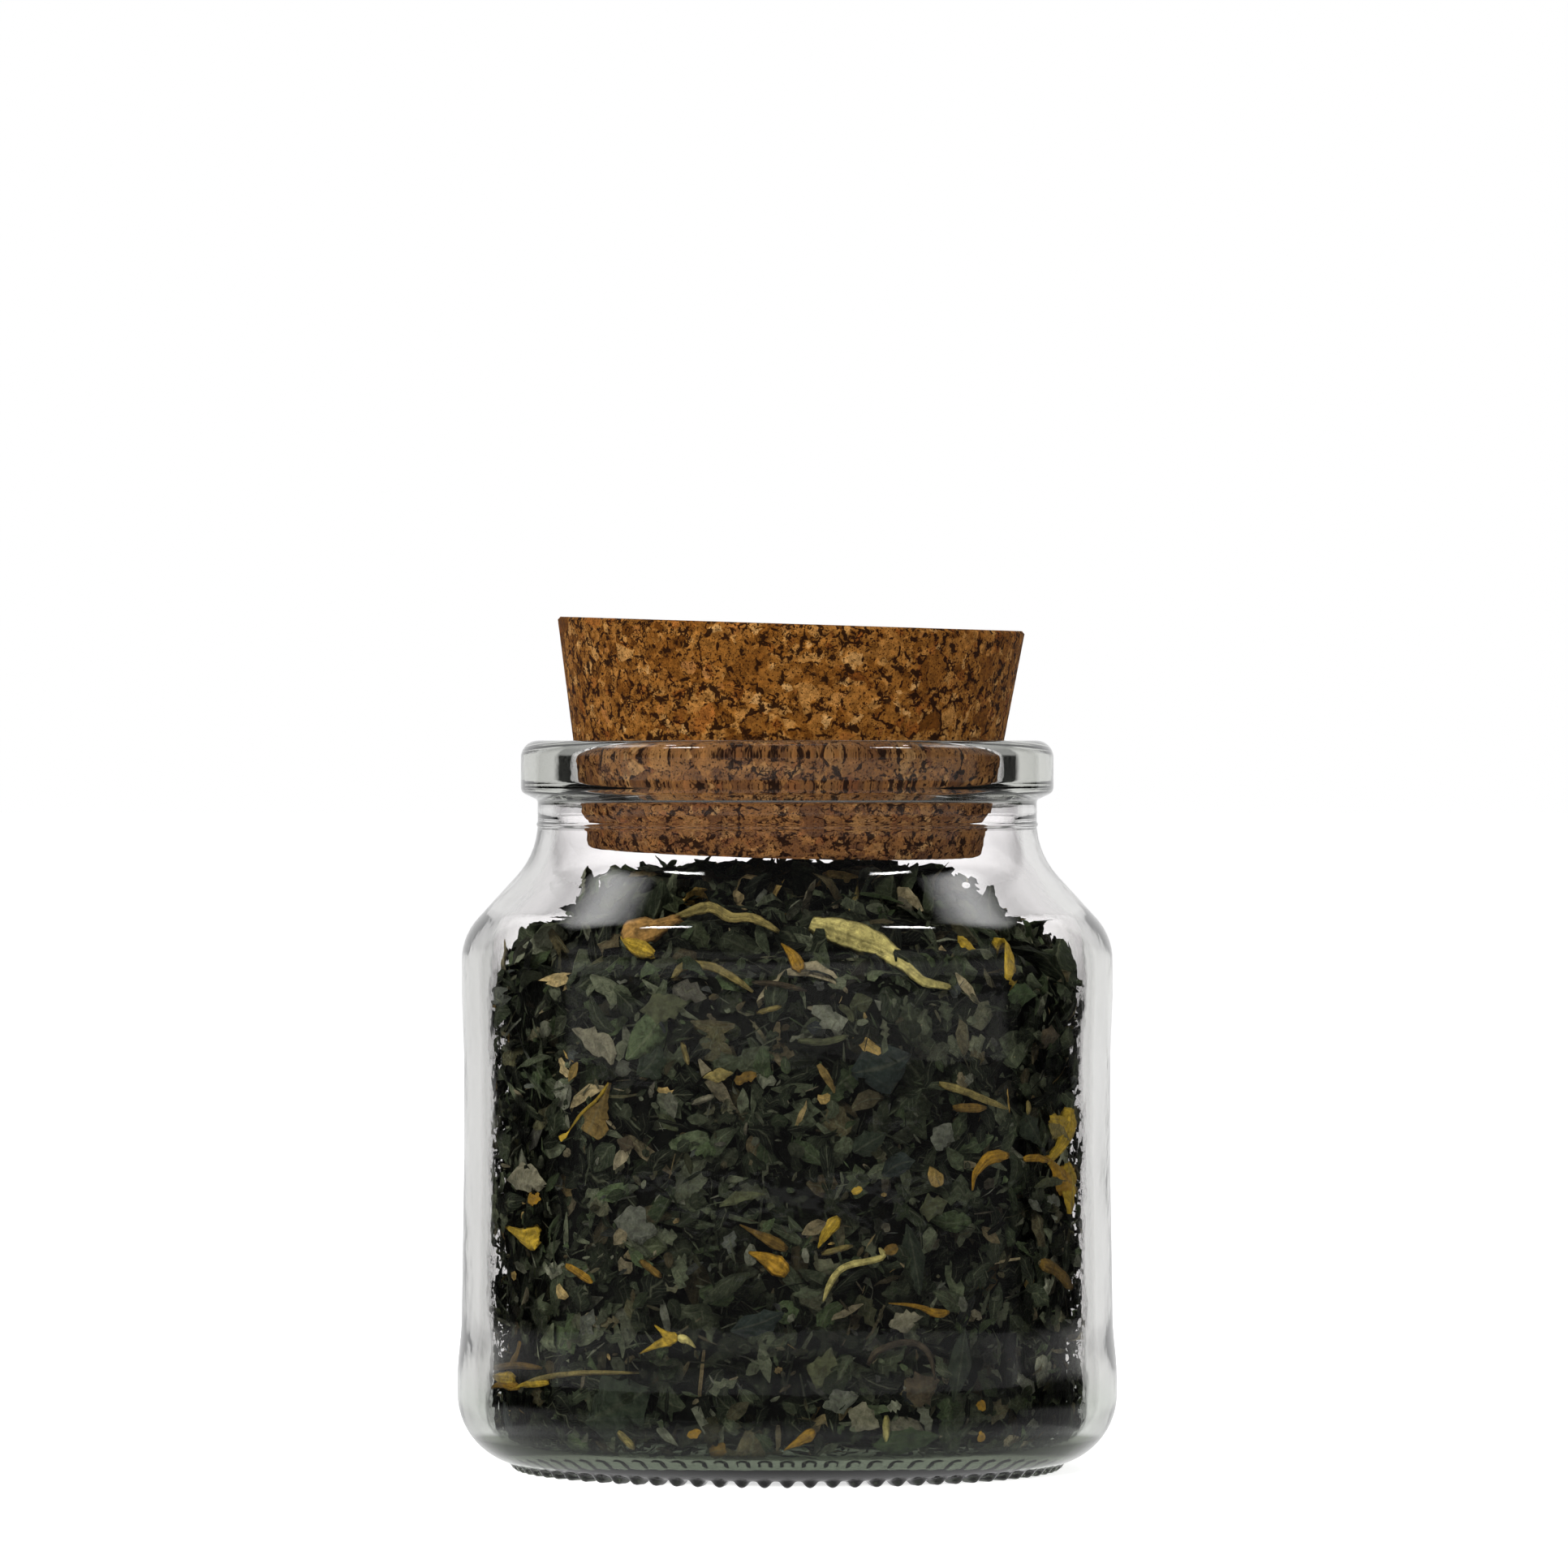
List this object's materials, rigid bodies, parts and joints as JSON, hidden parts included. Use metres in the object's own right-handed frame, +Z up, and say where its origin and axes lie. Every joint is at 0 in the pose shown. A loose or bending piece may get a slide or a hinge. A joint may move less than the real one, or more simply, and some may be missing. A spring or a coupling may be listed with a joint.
{
  "type": "stoppered storage jar",
  "caption": "Round clear jar with a rolled lip and a tapered pressed stopper that pulls out, filled with dried leaf and petals.",
  "frame": {"origin": "middle of the plane that the jar stands on, on the jar's axis", "axes": "+Z up along the jar's axis; -Y is the side seen in the picture, and the stopper leans slightly towards +X"},
  "size_m": [0.0842, 0.0842, 0.1089],
  "materials": {
    "clear_glass": "smooth, pressed",
    "pressed_cork": "matte, granular",
    "dried_leaf": "matte, crumpled",
    "dried_petal": "matte"
  },
  "bodies": {
    "jar": {"jar_glass": "clear_glass", "leaf_fill": "dried_leaf", "loose_leaves": "dried_leaf", "flower_petals": "dried_petal"},
    "stopper": {"cork_stopper": "pressed_cork"}
  },
  "joints": [
    {"name": "stopper_lift", "type": "slide", "parent": "jar", "child": "stopper", "axis": [0, 0, 1], "range_m": [0, 0.06]}
  ]
}
